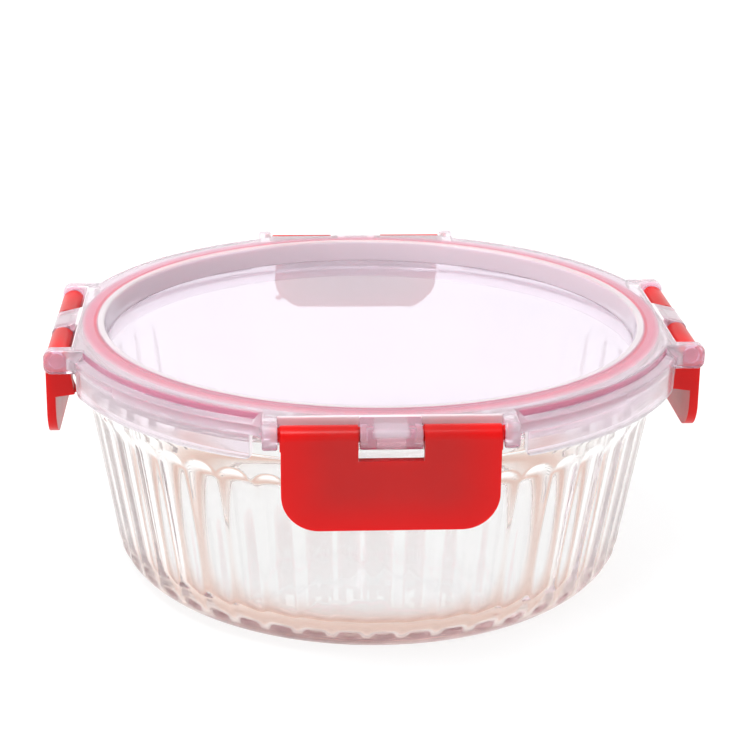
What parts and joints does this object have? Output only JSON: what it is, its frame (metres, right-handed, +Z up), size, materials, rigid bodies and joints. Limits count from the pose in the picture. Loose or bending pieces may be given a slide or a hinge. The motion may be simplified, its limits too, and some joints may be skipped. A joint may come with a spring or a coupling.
{
  "type": "glass food storage container",
  "caption": "Round fluted glass food container with a frosted snap-lock lid: silicone seal, clear window and red hinged latches that swing open.",
  "frame": {"origin": "middle of the bowl's foot, on the surface that it stands on", "axes": "+Z up along the bowl's axis, the front latch at -Y, the right latch at +X"},
  "size_m": [0.1806, 0.1806, 0.0725],
  "materials": {
    "clear_glass": "clear, polished, fluted outside",
    "frosted_plastic": "frosted, see-through polypropylene",
    "clear_plastic": "clear, glossy",
    "pink_silicone": "satin silicone",
    "red_plastic": "satin gloss moulded plastic"
  },
  "bodies": {
    "bowl": {"bowl": "clear_glass"},
    "lid": {"lid_frame": "frosted_plastic", "lid_window": "clear_plastic", "seal_ring": "pink_silicone"},
    "latch_front": {"latch_front": "red_plastic"},
    "latch_right": {"latch_right": "red_plastic"},
    "latch_back": {"latch_back": "red_plastic"},
    "latch_left": {"latch_left": "red_plastic"}
  },
  "joints": [
    {"name": "lid_lift", "type": "slide", "parent": "bowl", "child": "lid", "axis": [0, 0, 1], "range_m": [0, 0.03]},
    {"name": "latch_front_hinge", "type": "hinge", "parent": "lid", "child": "latch_front", "pos_m": [0, -0.0868, 0.069], "axis": [-1, 0, 0], "range_deg": [-5, 170]},
    {"name": "latch_right_hinge", "type": "hinge", "parent": "lid", "child": "latch_right", "pos_m": [0.0868, 0, 0.069], "axis": [0, -1, 0], "range_deg": [-5, 170]},
    {"name": "latch_back_hinge", "type": "hinge", "parent": "lid", "child": "latch_back", "pos_m": [0, 0.0868, 0.069], "axis": [1, 0, 0], "range_deg": [-5, 170]},
    {"name": "latch_left_hinge", "type": "hinge", "parent": "lid", "child": "latch_left", "pos_m": [-0.0868, 0, 0.069], "axis": [0, 1, 0], "range_deg": [-5, 170]}
  ]
}
